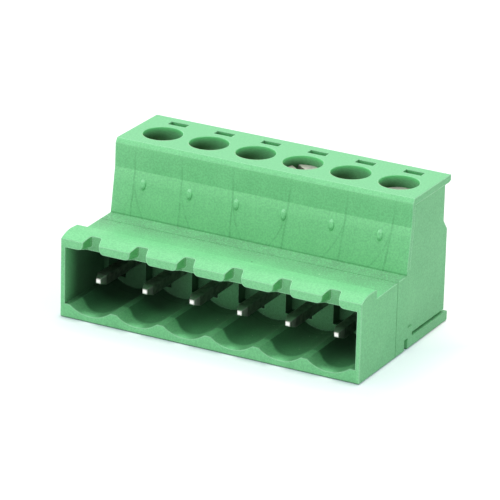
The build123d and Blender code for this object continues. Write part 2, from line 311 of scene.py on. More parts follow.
class Group:
    """A shader node group with named inputs and outputs."""

    def __init__(self, name: str, inputs: dict[str, float], outputs: dict[str, str]) -> None:
        """Makes the sockets of the group.

        Args:
            name: the group's name.
            inputs: first value of each number that goes in, by its name.
            outputs: socket type of each result, by its name.
        """
        self.tree = bpy.data.node_groups.new(name, "ShaderNodeTree")
        make = self.tree.interface.new_socket
        for label, value in inputs.items():
            make(name=label, in_out="INPUT", socket_type=FLOAT).default_value = value
        for label, kind in outputs.items():
            make(name=label, in_out="OUTPUT", socket_type=kind)
        self.graph = Graph(self.tree)
        self.inputs = self.graph.add("NodeGroupInput").outputs
        self.output = self.graph.add("NodeGroupOutput")

    def put_out(self, name: str, value: Value) -> None:
        """Sends a value to one of the group's outputs."""
        self.graph.feed(self.output, {name: value})

    def place_in(self, graph: Graph, **values: Value) -> bpy.types.NodeOutputs:
        """Outputs of the group in a graph; inputs are named with _ for the spaces."""
        inputs = {name.replace("_", " "): value for name, value in values.items()}
        return graph.add("ShaderNodeGroup", inputs, node_tree=self.tree).outputs


def spark_grain() -> Group:
    """Matt texture of a spark-eroded mould: fine pits on slow waves, slow and fine mottling."""
    group = Group("spark_grain", {"Pits per metre": 9000.0},
                  {"Height": FLOAT, "Mottle": FLOAT, "Fleck": FLOAT})
    graph = group.graph
    place = graph.place()
    pits = graph.noise(place, group.inputs["Pits per metre"], detail=3.0, rough=0.6)
    waves = graph.noise(place, 1500.0, detail=2.0)
    slow = graph.noise(place, 330.0, detail=3.0, rough=0.55)
    flecks = graph.noise(place, 6000.0, detail=2.0, rough=0.8)
    pit_share = 0.65
    height = graph.maths("MULTIPLY_ADD", waves, 1 - pit_share, graph.product(pits, pit_share))
    group.put_out("Height", height)
    group.put_out("Mottle", graph.step(slow, Ramp(0.3, 0.7)))
    group.put_out("Fleck", graph.step(flecks, Ramp(0.36, 0.64)))
    return group


def soft_edges() -> Group:
    """Rounded edges: the normal of a small radius, and a mask of where it turns."""
    group = Group("soft_edges", {"Radius": 0.0001}, {"Normal": VECTOR, "Edge": FLOAT})
    graph = group.graph
    bevel = graph.add("ShaderNodeBevel", {"Radius": group.inputs["Radius"]}, samples=6)
    plain = graph.add("ShaderNodeNewGeometry").outputs["Normal"]
    likeness = graph.vector("DOT_PRODUCT", bevel.outputs["Normal"], plain)["Value"]
    group.put_out("Normal", bevel.outputs["Normal"])
    group.put_out("Edge", graph.step(likeness, Ramp(0.995, 0.86)))
    return group


def deep_recess() -> Group:
    """How deep a point lies in a recess of its own moulding, from 0 in the open to 1 far inside."""
    group = Group("deep_recess", {"Reach": 0.007, "Start": 0.5}, {"Depth": FLOAT})
    graph = group.graph
    around = graph.add("ShaderNodeAmbientOcclusion", {"Distance": group.inputs["Reach"]},
                       samples=6, only_local=True)
    open_share_inside = 0.14
    depth = graph.fade(around.outputs["AO"], group.inputs["Start"], open_share_inside)
    group.put_out("Depth", depth)
    return group


def settled_dust_and_shade() -> Group:
    """Dust on faces that look up, below the top: a haze, pale specks and dark specks. The haze is
    partly painted shade, which grows towards the tower's foot.

    The haze thickens from start_left or start_right, its first places in millimetres, to full.
    """
    group = Group("settled_dust_and_shade", {"Thin share": 0.7, "Specks per metre": 1500.0},
                  {"Haze and shade": FLOAT, "Pale": FLOAT, "Dark": FLOAT})
    graph, number = group.graph, group.inputs["Specks per metre"]
    surface, place = Surface(graph), graph.place()
    start_left, start_right, full, gather = -6.6, -8.6, -1.4, 1.5
    facing = surface.zone(Zone(up=Ramp(0.35, 0.95), high=Ramp(13.0, 9.0)))
    start = graph.step(surface.across, Ramp(1.0, 13.0, start_left, start_right))
    # dust and painted shade: the haze grows towards the tower's foot
    drift_and_shade = graph.maths("POWER", graph.fade(surface.back, start, full), gather)
    patches = graph.noise(place, 420.0, detail=4.0, rough=0.6)
    powder = graph.noise(place, 7000.0, detail=3.0, rough=0.75)
    thin = graph.fade(patches, 0.3, 0.7, group.inputs["Thin share"], 1.0)
    grains = graph.step(powder, Ramp(0.34, 0.60, 0.20, 1.0))
    pale = graph.specks(place, number, empty=0.72, largest=0.14, core=0.4)
    dark_number = graph.product(number, 0.37)
    dark = graph.specks(place, dark_number, empty=0.80, largest=0.07, core=0.5)
    group.put_out("Haze and shade", graph.product(thin, drift_and_shade, grains, facing))
    group.put_out("Pale", graph.product(pale, facing))
    group.put_out("Dark", dark)
    return group


def weld_line() -> Group:
    """One weld line of the melt: a narrow line that leans, and the bow that spreads from it.

    All lengths are in millimetres. The bow leaves the line below its root by Bow times the
    power of the drop, which is 1 at the depth of the drop.
    """
    group = Group("weld_line", {"Across": 0.0, "Lean": 0.0, "Bow": 0.0}, {"Line": FLOAT})
    graph = group.graph
    surface, place = Surface(graph), graph.place()
    line_middle, bow_root, bow_drop, bow_power, waver = 13.0, 12.2, 4.5, 2.2, 0.16
    rise = graph.maths("SUBTRACT", surface.high, line_middle)
    middle = graph.maths("MULTIPLY_ADD", rise, group.inputs["Lean"], group.inputs["Across"])
    away = graph.maths("SUBTRACT", surface.across, middle)
    shift = graph.maths("SUBTRACT", graph.noise(place, 700.0, detail=1.0), 0.5)
    away = graph.maths("MULTIPLY_ADD", shift, waver, away)
    line = graph.step(graph.maths("ABSOLUTE", away), Ramp(0.16, 0.02))
    drop = graph.product(graph.maths("SUBTRACT", bow_root, surface.high), 1 / bow_drop)
    swing = graph.maths("POWER", graph.maths("MAXIMUM", drop, 0.0), bow_power)
    swing = graph.product(swing, group.inputs["Bow"])
    from_bow = graph.maths("ABSOLUTE", graph.maths("SUBTRACT", away, swing))
    bow = graph.product(graph.step(from_bow, Ramp(0.15, 0.02, 0.0, 0.70)),
                        graph.step(surface.high, Ramp(11.8, 10.8)))
    patchy = graph.step(graph.noise(place, 900.0, detail=2.0), Ramp(0.28, 0.55, 0.35, 1.0))
    group.put_out("Line", graph.product(graph.maths("MAXIMUM", line, bow), patchy))
    return group


def rubbed_plating() -> Group:
    """Plated metal: a cloudy roughness, fine scuffs along the block's depth, small dull spots."""
    group = Group("rubbed_plating", {"Scuffs per metre": 6000.0},
                  {"Cloud": FLOAT, "Scuffs": FLOAT, "Spots": FLOAT})
    graph = group.graph
    place = graph.place()
    stretch = graph.vector("MULTIPLY", place, Vector((1.0, 0.08, 1.0)))["Vector"]
    scuffs = graph.noise(stretch, group.inputs["Scuffs per metre"], detail=2.0, rough=0.6)
    group.put_out("Cloud", graph.noise(place, 1300.0, detail=3.0, rough=0.6))
    group.put_out("Scuffs", scuffs)
    group.put_out("Spots", graph.specks(place, 3200.0, empty=0.6, largest=0.3, core=0.3))
    return group


@dataclass(frozen=True)
class Toolbox:
    """The shader groups that the finishes share, each one built once."""

    grain: Group = field(default_factory=spark_grain)
    edges: Group = field(default_factory=soft_edges)
    recess: Group = field(default_factory=deep_recess)
    dust: Group = field(default_factory=settled_dust_and_shade)
    weld: Group = field(default_factory=weld_line)
    plating: Group = field(default_factory=rubbed_plating)


def new_material(name: str) -> tuple[bpy.types.Material, Graph, bpy.types.Node]:
    """Starts a material.

    Args:
        name: its name.

    Returns:
        The material, its graph, and a Principled shader that is already joined to the output.
    """
    material = bpy.data.materials.new(name)
    material.use_nodes = True
    graph = Graph(material.node_tree)
    shader = graph.add("ShaderNodeBsdfPrincipled")
    graph.add("ShaderNodeOutputMaterial", {"Surface": shader.outputs["BSDF"]})
    return material, graph, shader


@dataclass(frozen=True)
class MouldedGreen:
    """Matt green polyamide from a spark-eroded mould, a little dusty, with painted highlights and
    painted shade.

    The steps are in millimetres of the block's frame, or in parts of the normal. The plain finish
    has no layers of its own at the four places that a moulding can fill.
    """

    name: str
    recess_start: float = 0.70
    green: Colour = (0.214, 0.688, 0.305, 1.0)
    light_green: Colour = (0.240, 0.732, 0.334, 1.0)
    # painted sheen: faces that look up get a paler green
    top_green: Colour = (0.240, 0.692, 0.334, 1.0)
    # painted highlight along rounded edges and on the lit side of the bumps
    edge_green: Colour = (0.460, 0.960, 0.590, 1.0)
    # painted highlight on the tower's front, on the shroud's tabs and on its right edge
    knee_green: Colour = (0.300, 0.835, 0.400, 1.0)
    side_tint: Colour = (0.84, 0.83, 0.84, 1.0)
    recess_tint: Colour = (0.24, 0.21, 0.23, 1.0)
    fleck_tint: Colour = (0.80, 0.85, 0.82, 1.0)
    foot_tint: Colour = (0.42, 0.36, 0.36, 1.0)
    # darkens the weld lines and the seam, and paints shade on the bumps and at the tower's foot
    line_tint: Colour = (0.66, 0.76, 0.70, 1.0)
    dust_grey: Colour = (0.142, 0.325, 0.180, 1.0)
    dust_pale: Colour = (0.550, 0.860, 0.620, 1.0)
    dust_dark: Colour = (0.045, 0.140, 0.070, 1.0)
    dust_share: float = 0.95
    dark_share: float = 0.8
    worn_share: float = 0.9
    roughness: float = 0.42
    grain_roughness: float = 0.16
    dust_roughness: float = 0.15
    gloss: float = 0.38
    grain_strength: float = 0.35
    grain_depth: float = 0.012
    recess_reach: float = 7.0
    edge_radius: float = 0.20
    seam_back: float = -1.795
    seam_wide: Ramp = Ramp(0.35, 0.21)
    seam_narrow: Ramp = Ramp(0.07, 0.042)
    under_shoulder: Zone = Zone(high=Ramp(7.7, 7.4))
    inner_corner: Zone = Zone(high=Ramp(8.15, 7.95), back=Ramp(-0.50, -0.35))
    floor_line: Zone = Zone(high=Ramp(0.17, 0.06))
    front: Zone = Zone(north=Ramp(-0.6, -0.9), back=Span(highest=1.1))
    knee_foot: Zone = Zone(high=Ramp(7.0, 8.0, 0.0, 0.35))
    knee_rise: Zone = Zone(high=Ramp(10.0, 12.1))
    knee_end: Zone = Zone(high=Ramp(12.22, 12.12))
    front_top: Zone = Zone(high=Ramp(13.9, 14.8, 0.0, 0.45))
    top: Zone = Zone(up=Ramp(0.7, 0.98), high=Ramp(14.0, 14.6))
    right: Zone = Zone(east=Ramp(0.5, 0.9))
    right_low: Zone = Zone(high=Ramp(6.0, 0.0, 0.0, 0.6))
    right_back: Zone = Zone(back=Ramp(-6.0, 6.0, 0.0, 0.4))
    gloom: Zone = Zone(across=Ramp(-4.6, -8.6, 0.0, 0.85), back=Ramp(-6.0, -3.5))
    mouth_rear: Zone = Zone(across=Span(-15.5), high=Span(0.4, 7.0), back=Span(highest=-0.3))

    def build(self, tools: Toolbox) -> bpy.types.Material:
        """Builds the material.

        Args:
            tools: the shared shader groups.

        Returns:
            The material.
        """
        material, graph, shader = new_material(self.name)
        surface = Surface(graph)
        grain = tools.grain.place_in(graph)
        dust = tools.dust.place_in(graph)
        radius = graph.product(graph.rest(self.sharp_mask(surface)), self.edge_radius * MM)
        edges = tools.edges.place_in(graph, Radius=radius)
        recess = tools.recess.place_in(graph, Reach=self.recess_reach * MM, Start=self.recess_start)
        depth = self.depth_mask(surface, recess["Depth"])
        # painted highlight: a paler green along the rounded edges, outside recesses
        edge_highlight = graph.product(edges["Edge"], graph.rest(depth), self.worn_share)
        colour = graph.colours(grain["Mottle"], self.green, self.light_green)
        colour = graph.layered(colour, [
            *self.lowest_layers(surface),
            # painted sheen: a paler green on the faces that look up near the top
            cover(surface.zone(self.top), self.top_green),
            # painted highlight on the tower's front
            cover(self.front_mask(surface), self.knee_green),
            # painted shade on the right side
            tint(self.side_mask(surface), self.side_tint),
            tint(grain["Fleck"], self.fleck_tint),
            *self.line_layers(surface, tools),
            # dust, and painted shade that darkens the shroud's top towards the tower
            cover(graph.product(dust["Haze and shade"], self.dust_share), self.dust_grey),
            cover(graph.product(dust["Pale"], self.dust_share), self.dust_pale),
            cover(graph.product(dust["Dark"], self.dark_share), self.dust_dark),
            cover(edge_highlight, self.edge_green),
            *self.bore_layers(surface),
            # painted shade, darker deeper in recesses
            tint(depth, self.recess_tint),
            # painted shade: a dark line along the foot, where the block meets the floor
            tint(surface.zone(self.floor_line), self.foot_tint),
            tint(graph.product(self.seam_mask(surface, self.seam_narrow),
                               surface.zone(self.under_shoulder)), self.line_tint),
            *self.highest_layers(surface),
        ])
        rough = graph.maths("MULTIPLY_ADD", grain["Height"], self.grain_roughness, self.roughness)
        rough = graph.maths("MULTIPLY_ADD", dust["Haze and shade"], self.dust_roughness, rough, clamp=True)
        normal = graph.bump(grain["Height"], edges["Normal"], self.grain_strength, self.grain_depth)
        graph.feed(shader, {"Base Color": colour, "Roughness": rough, "Normal": normal,
                            "Specular IOR Level": self.gloss})
        return material

    def lowest_layers(self, surface: Surface) -> list[Layer]:
        """Layers right over the plastic's own colour."""
        return []

    def line_layers(self, surface: Surface, tools: Toolbox) -> list[Layer]:
        """Layers below the dust."""
        return []

    def bore_layers(self, surface: Surface) -> list[Layer]:
        """Layers over the worn edges."""
        return []

    def highest_layers(self, surface: Surface) -> list[Layer]:
        """Layers over all others."""
        return []

    def depth_mask(self, surface: Surface, recess: Socket) -> Socket:
        """How much painted shade a point gets for lying deep in a recess."""
        return recess

    def sharp_mask(self, surface: Surface) -> Socket:
        """Where edges stay sharp: at the seam and in the inner corner above the shoulder."""
        return surface.graph.largest(self.seam_mask(surface, self.seam_wide),
                                     surface.zone(self.inner_corner))

    def seam_mask(self, surface: Surface, step: Ramp) -> Socket:
        """A step over the distance to the plane where shroud and tower meet."""
        return surface.graph.step(surface.graph.off(surface.back, self.seam_back), step)

    def front_mask(self, surface: Surface) -> Socket:
        """Where a painted highlight makes the tower's front paler: towards the knee and right under
        the top.
        """
        graph = surface.graph
        knee = graph.product(surface.either(self.knee_foot, self.knee_rise),
                             surface.zone(self.knee_end))
        return graph.product(surface.zone(self.front),
                             graph.largest(knee, surface.zone(self.front_top)))

    def side_mask(self, surface: Surface) -> Socket:
        """Painted shade on the right side, darker towards the floor and the back."""
        low, back = surface.zone(self.right_low), surface.zone(self.right_back)
        darker = surface.graph.maths("ADD", low, back)
        return surface.graph.product(surface.zone(self.right), darker)


@dataclass(frozen=True)
class ShroudGreen(MouldedGreen):
    """The shroud's green, with painted shade in its mouth, troughs and notches and a painted
    highlight on its tabs.
    """

    notch_tint: Colour = (0.78, 0.76, 0.76, 1.0)
    notch_side_tint: Colour = (0.52, 0.74, 0.52, 1.0)
    sill_tint: Colour = (0.64, 0.68, 0.66, 1.0)
    slope_tint: Colour = (0.50, 0.54, 0.54, 1.0)
    mouth_walls: Zone = Zone(across=Span(-15.5, 15.5), back=Ramp(-9.9, -6.5),
                             high=Span(highest=7.0), sideways=Ramp(0.5, 0.9))
    notch_backs: Zone = Zone(back=Span(-8.37, -7.93), high=Span(6.8), north=Ramp(-0.5, -0.8))
    notch_sides: Zone = Zone(across=Span(-15.2, 15.2), back=Ramp(-8.0, -8.2),
                             high=Ramp(6.9, 7.2), sideways=Ramp(0.35, 0.65))
    tab_tops: Zone = Zone(back=Ramp(-7.6, -8.4, 0.0, 0.30), up=Ramp(0.5, 0.8))
    tab_faces: Zone = Zone(back=Ramp(-9.0, -9.2), high=Ramp(7.0, 7.4, 0.0, 0.35))
    right_edge: Zone = Zone(across=Ramp(15.55, 15.75, 0.0, 0.60), back=Ramp(-9.0, -9.2))
    troughs: Zone = Zone(high=Span(highest=4.0), up=Ramp(0.2, 0.5))
    shaded_slopes: Zone = Zone(east=Ramp(-0.15, 0.45))
    dirt_start: Ramp = Ramp(0.5, 1.35, -8.2, -7.2)
    dirt_reach: float = 0.5

    def depth_mask(self, surface: Surface, recess: Socket) -> Socket:
        """Painted shade for how deep a point lies in a recess, more on the mouth's side walls
        further back and at its left rear.
        """
        return surface.graph.largest(recess, surface.zone(self.mouth_walls),
                                     surface.both(self.gloom, self.mouth_rear))

    def lowest_layers(self, surface: Surface) -> list[Layer]:
        """Painted shade in the notches, a painted highlight on the tabs and the right edge, and a
        painted shadow in the troughs.

        The shadow starts behind the mouth's sill, and further back where the floor is higher; the
        trough slopes that face right get more painted shade.

        Args:
            surface: the point on the shroud.

        Returns:
            The layers.
        """
        graph = surface.graph
        start = graph.step(surface.high, self.dirt_start)
        behind = graph.fade(surface.back, start, graph.maths("ADD", start, self.dirt_reach))
        trough_shadow = graph.product(surface.zone(self.troughs), behind)
        tab_highlight = surface.either(self.tab_tops, self.tab_faces, self.right_edge)
        slopes = graph.product(trough_shadow, surface.zone(self.shaded_slopes))
        # painted shade in the notches and troughs, painted highlight on the tabs and the right edge
        return [
            tint(surface.zone(self.notch_backs), self.notch_tint),
            tint(surface.zone(self.notch_sides), self.notch_side_tint),
            cover(tab_highlight, self.knee_green),
            tint(trough_shadow, self.sill_tint),
            tint(slopes, self.slope_tint),
        ]


@dataclass(frozen=True)
class TowerGreen(MouldedGreen):
    """The tower's green, with its weld lines, bumps, driver bores and painted shade at its foot."""

    recess_start: float = 0.38
    rim_green: Colour = (0.205, 0.980, 0.330, 1.0)
    burr: Colour = (0.700, 0.760, 0.490, 1.0)
    bore_tint: Colour = (0.10, 0.18, 0.08, 1.0)
    weld_offsets: tuple[float, ...] = (-1.0, -0.95, -0.45, 0.50, 1.45, 1.30)
    weld_leans: tuple[float, ...] = (0.01, -0.01, -0.02, 0.07, 0.07, 0.10)
    weld_bows: tuple[float, ...] = (1.3, 1.3, 1.2, -1.3, -1.7, -1.6)
    weld_high: Zone = Zone(high=Ramp(14.4, 11.6, 0.15, 0.75))
    bumps: Zone = Zone(across=Span(-15.0, 15.0), back=Span(highest=0.7), high=Span(8.5, 11.7))
    bump_lit: Zone = Zone(up=Ramp(0.22, 0.50, 0.0, 0.45))
    bump_shaded: Zone = Zone(up=Ramp(0.08, -0.20))
    foot_high: float = 7.68
    foot_line: Ramp = Ramp(0.16, 0.04)
    foot_front: Zone = Zone(back=Span(highest=0.3), north=Ramp(-0.6, -0.9))
    bore_back: float = 4.315
    bore_round: Span = Span(0.0, 1.96)
    pole_row: Zone = Zone(across=Span(-POLES / 2 * PITCH, POLES / 2 * PITCH))
    above_heads: Zone = Zone(high=Span(9.0))
    rims: Zone = Zone(high=Ramp(14.45, 14.95, 0.0, 0.75))
    shades: Zone = Zone(high=Ramp(14.9, 13.9), east=Ramp(-0.3, 0.9, 0.15, 0.95))
    burr_ring: Ramp = Ramp(2.05, 1.98)
    burr_along: Ramp = Ramp(-0.582, -1.552, 0.0, 0.55)
    burr_top: Zone = Zone(high=Span(14.9))

    def depth_mask(self, surface: Surface, recess: Socket) -> Socket:
        """Painted shade for how deep a point lies in a recess, more on the wall at the mouth's left
        rear.
        """
        return surface.graph.largest(recess, surface.both(self.gloom, self.mouth_rear))

    def sharp_mask(self, surface: Surface) -> Socket:
        """Where edges stay sharp: on the bumps too, so that they keep their own shape."""
        return surface.graph.largest(super().sharp_mask(surface), surface.zone(self.bumps))

    def line_layers(self, surface: Surface, tools: Toolbox) -> list[Layer]:
        """Weld lines, one beside each pole, and a painted highlight on the lit and painted shade on
        the shaded side of each bump.

        Args:
            surface: the point on the tower.
            tools: the shared shader groups.

        Returns:
            The layers.
        """
        graph = surface.graph
        numbers = zip(POLE_PLACES, self.weld_offsets, self.weld_leans, self.weld_bows)
        lines = [tools.weld.place_in(graph, Across=middle + offset, Lean=lean, Bow=bow)["Line"]
                 for middle, offset, lean, bow in numbers]
        welds = graph.product(graph.largest(*lines), surface.both(self.front, self.weld_high))
        return [
            tint(welds, self.line_tint),
            # painted highlight on the bumps' lit side and painted shade on their shaded side
            cover(surface.both(self.bumps, self.bump_lit), self.edge_green),
            tint(surface.both(self.bumps, self.bump_shaded), self.line_tint),
        ]

    def bore_layers(self, surface: Surface) -> list[Layer]:
        """The driver bores: a painted highlight below their rims, a painted glint on the near rim,
        and painted shade below.

        Args:
            surface: the point on the tower.

        Returns:
            The layers.
        """
        graph = surface.graph
        along = graph.maths("SUBTRACT", surface.back, self.bore_back)
        radius = surface.from_axis(along)
        wall = graph.product(surface.both(self.pole_row, self.above_heads),
                             graph.step(radius, self.bore_round))
        lip = graph.product(surface.both(self.pole_row, self.burr_top),
                            graph.step(radius, self.burr_ring),
                            graph.step(along, self.burr_along))
        # painted highlight, painted glint and painted shade in the driver bores
        return [
            cover(graph.product(wall, surface.zone(self.rims)), self.rim_green),
            cover(lip, self.burr),
            tint(graph.product(wall, surface.zone(self.shades)), self.bore_tint),
        ]

    def highest_layers(self, surface: Surface) -> list[Layer]:
        """Painted shade: a thin dark line in the inner corner at the tower's foot."""
        line = surface.graph.step(surface.graph.off(surface.high, self.foot_high), self.foot_line)
        return [tint(surface.graph.product(line, surface.zone(self.foot_front)), self.line_tint)]


@dataclass(frozen=True)
class Plating:
    """A plated metal with clouds, scuffs and dull spots."""

    name: str
    metal: Colour
    dull: Colour
    roughness: float
    edge_radius: float = 0.05
    scuff_depth: float = 0.004
    scuff_strength: float = 0.5
    scuff_roughness: float = 0.10
    cloud_roughness: float = 0.16
    cloud_edge: Ramp = Ramp(0.35, 0.7)
    spot_share: float = 0.5

    def layers(self, graph: Graph) -> list[Layer]:
        """Layers over the metal's own colours; the plain plating has none."""
        return []

    def build(self, tools: Toolbox) -> bpy.types.Material:
        """Builds the material.

        Args:
            tools: the shared shader groups.

        Returns:
            The material.
        """
        material, graph, shader = new_material(self.name)
        plating = tools.plating.place_in(graph)
        edges = tools.edges.place_in(graph, Radius=self.edge_radius * MM)
        cloud = graph.step(plating["Cloud"], self.cloud_edge)
        spots = graph.product(plating["Spots"], self.spot_share)
        colour = graph.colours(cloud, self.metal, self.dull)
        colour = graph.layered(colour, [cover(spots, self.dull), *self.layers(graph)])
        rough = graph.maths("MULTIPLY_ADD", cloud, self.cloud_roughness, self.roughness)
        rough = graph.maths("MULTIPLY_ADD", plating["Scuffs"], self.scuff_roughness, rough,
                            clamp=True)
        normal = graph.bump(plating["Scuffs"], edges["Normal"], self.scuff_strength,
                            self.scuff_depth)
        graph.feed(shader, {"Base Color": colour, "Metallic": 1.0, "Roughness": rough,
                            "Normal": normal})
        return material


@dataclass(frozen=True)
class PinPlating(Plating):
    """The tin of the contacts, with a painted sheen on their noses and a painted highlight on their
    flat ends.
    """

    nose_metal: Colour = (0.42, 0.42, 0.40, 1.0)
    tip_metal: Colour = (0.95, 0.94, 0.90, 1.0)
    pin_high: float = 3.77
    nose: Zone = Zone(back=Ramp(-7.095, -7.645))
    tip: Zone = Zone(back=Ramp(-7.595, -7.795))
    tip_round: Ramp = Ramp(0.36, 0.12)

    def layers(self, graph: Graph) -> list[Layer]:
        """The bevelled nose painted lighter as a sheen, and a painted highlight: a round bright spot
        on its flat end.
        """
        surface = Surface(graph)
        level = graph.maths("SUBTRACT", surface.high, self.pin_high)
        # painted highlight: a bright round spot on the nose's flat end
        spot = graph.product(surface.zone(self.tip),
                             graph.step(surface.from_axis(level), self.tip_round))
        return [cover(surface.zone(self.nose), self.nose_metal), cover(spot, self.tip_metal)]


def grid_faces(rows: int, columns: int) -> np.ndarray:
    """Quads of a grid whose columns close on themselves.

    The corner of row r and column c has the number r * columns + c, and column numbers wrap round.

    Args:
        rows: rows of points.
        columns: points in a row.

    Returns:
        Four point numbers for each quad, in the order that faces outwards when the rows rise.
    """
    row, column = np.meshgrid(np.arange(rows - 1), np.arange(columns), indexing="ij")
    after = (column + 1) % columns
    quads = np.stack([row * columns + column, row * columns + after,
                      (row + 1) * columns + after, (row + 1) * columns + column], axis=-1)
    return quads.reshape(-1, 4)


def closed_loft(rings: np.ndarray) -> tuple[np.ndarray, list[list[int]]]:
    """A closed skin through rings of points, with a pole point in the middle of each end.

    Args:
        rings: an array of rows by columns by three, from the lowest ring to the highest.

    Returns:
        The points and the faces.
    """
    rows, columns, _ = rings.shape
    ends = [rings[:1].mean(axis=1), rings[-1:].mean(axis=1)]
    points = np.concatenate([rings.reshape(-1, 3), *ends])
    ring = np.arange(columns)
    after = (ring + 1) % columns
    low_pole, high_pole = rows * columns, rows * columns + 1
    last = (rows - 1) * columns
    bottom = np.stack([after, ring, np.full(columns, low_pole)], axis=-1)
    top = np.stack([ring + last, after + last, np.full(columns, high_pole)], axis=-1)
    return points, grid_faces(rows, columns).tolist() + bottom.tolist() + top.tolist()


def add_mesh(name: str, shells: Sequence[tuple[np.ndarray, list[list[int]]]],
             sharp_degrees: float) -> bpy.types.Object:
    """Makes one object from shells.

    Args:
        name: the object's name.
        shells: points in metres and faces of each shell.
        sharp_degrees: edges that turn by more than this stay sharp.

    Returns:
        The object, linked to the scene.
    """
    points, faces, count = [], [], 0
    for shell_points, shell_faces in shells:
        points.append(shell_points)
        faces += [[corner + count for corner in face] for face in shell_faces]
        count += len(shell_points)
    mesh = bpy.data.meshes.new(name)
    mesh.from_pydata(np.concatenate(points).tolist(), [], faces)
    mesh.validate()
    mesh.shade_smooth()
    mesh.set_sharp_from_angle(angle=math.radians(sharp_degrees))
    item = bpy.data.objects.new(name, mesh)
    bpy.context.scene.collection.objects.link(item)
    return item


@dataclass
class ClampScrew:
    """A slotted M3 clamp screw with its thread, in place of the plain CAD one."""

    pole: int
    slot_degrees: float
    crest_radius: float = 1.45
    root_radius: float = 1.19
    thread_pitch: float = 0.50
    flank_gain: float = 1.6
    flank_shift: float = 0.3
    run_out: float = 1.2
    tip_bevel: float = 0.35
    neck_bevel: float = 0.08
    head_radius: float = 1.80
    head_height: float = 1.80
    slot_width: float = 0.60
    slot_depth: float = 0.90
    head_round: float = 0.16
    slot_round: float = 0.05
    sunk: float = 0.05
    sunk_inset: float = 0.02
    cap_share: float = 0.25
    columns: int = 64
    rows_per_pitch: int = 12
    arc_points: int = 40
    chord_points: int = 24
    round_steps: int = 5
    sharp_degrees: float = 38.0

    def shank(self, low: float, high: float) -> np.ndarray:
        """Rings of the threaded shank and the head up to the slot's floor.

        The radius at a height z and an angle a is the root plus the thread's depth times a
        flat-topped wave of z / pitch - a / 360 degrees, which fades out below the head and is cut
        by a cone at the tip.

        Args:
            low: height of the tip.
            high: height of the head's top.

        Returns:
            The rings, rows by columns by three, in millimetres round the screw's axis.
        """
        neck = high - self.head_height
        angles = np.linspace(0.0, 2 * np.pi, self.columns, endpoint=False)
        rows = int((neck - low) / self.thread_pitch * self.rows_per_pitch)
        heights = np.linspace(low, neck, rows)[:, None]
        turn = heights / self.thread_pitch - angles[None, :] / (2 * np.pi)
        wave = np.abs(2 * (turn - np.floor(turn)) - 1)
        wave = np.clip(wave * self.flank_gain - self.flank_shift, 0.0, 1.0)
        fade = np.clip((neck - heights) / (self.run_out * self.thread_pitch), 0.0, 1.0)
        cone = self.crest_radius - self.tip_bevel + np.maximum(heights - low, 0.0)
        radii = self.root_radius + (self.crest_radius - self.root_radius) * wave * fade
        radii = np.minimum(radii, cone)
        head = np.array([[neck, self.head_radius - self.neck_bevel],
                         [neck + self.neck_bevel, self.head_radius],
                         [high - self.slot_depth, self.head_radius]])
        radii = np.concatenate([radii, np.repeat(head[:, 1:], self.columns, axis=1)])
        heights = np.concatenate([heights, head[:, :1]])
        return np.stack([radii * np.cos(angles), radii * np.sin(angles),
                         np.repeat(heights, self.columns, axis=1)], axis=-1)

    def half_head(self, high: float, turned: bool) -> np.ndarray:
        """Rings of one half of the head, between the slot and the rim.

        Each ring is an arc and the chord along the slot, moved inwards by insets that grow by a
        quarter round at the top edge. The first ring is sunk in the head, and the last is the cap.

        Args:
            high: height of the head's top.
            turned: True for the half on the other side of the slot.

        Returns:
            The rings, in millimetres round the screw's axis.
        """
        floor = high - self.slot_depth
        levels = [(floor - self.sunk, self.sunk_inset, self.sunk_inset), (floor, 0.0, 0.0),
                  (high - self.head_round, 0.0, 0.0)]
        for angle in np.linspace(0.0, np.pi / 2, self.round_steps)[1:]:
            inwards = 1 - math.cos(angle)
            levels.append((high - self.head_round * (1 - math.sin(angle)),
                           self.head_round * inwards, self.slot_round * inwards))
        cap_inset = self.head_radius * self.cap_share
        levels.append((high, cap_inset, cap_inset))
        rings = []
        for height, arc_inset, chord_inset in levels:
            radius = self.head_radius - arc_inset
            offset = self.slot_width / 2 + chord_inset
            start = math.asin(min(1.0, offset / radius))
            arc = np.linspace(start, np.pi - start, self.arc_points)
            reach = radius * math.cos(start)
            chord = np.linspace(-reach, reach, self.chord_points)[1:-1]
            across = np.concatenate([radius * np.cos(arc), chord])
            along = np.concatenate([radius * np.sin(arc), np.full(chord.shape, offset)])
            rings.append(np.stack([across, along, np.full(across.shape, height)], axis=-1))
        half = np.array(rings)
        if turned:
            half[..., :2] *= -1
        return half

    def build(self, material: bpy.types.Material) -> bpy.types.Object:
        """Builds the screw where its CAD node is.

        Args:
            material: its finish.

        Returns:
            The finished piece.
        """
        node = f"clamp_screw_{self.pole}"
        low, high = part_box(node)
        bottom, top = low.z / MM, high.z / MM
        turn = math.radians(self.slot_degrees)
        rotation = np.array([[math.cos(turn), math.sin(turn), 0],
                             [-math.sin(turn), math.cos(turn), 0],
                             [0, 0, 1]])
        middle = np.array([(low.x + high.x) / 2, (low.y + high.y) / 2, 0.0])
        shells = []
        for rings in (self.shank(bottom, top), self.half_head(top, False),
                      self.half_head(top, True)):
            points, faces = closed_loft(rings)
            shells.append((points @ rotation * MM + middle, faces))
        screw = add_mesh(f"threaded_screw_{self.pole}", shells, self.sharp_degrees)
        screw.data.materials.append(material)
        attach(screw, f"screw_{self.pole}")
        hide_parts(node)
        LOG.info("%s: %d faces", screw.name, len(screw.data.polygons))
        return screw


def dress_node(name: str, material: bpy.types.Material) -> None:
    """Puts a material on a CAD node.

    Args:
        name: the node.
        material: its finish.
    """
    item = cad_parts[name]
    for slot in item.material_slots:
        slot.material = material
    LOG.info("%s: %s", name, material.name)


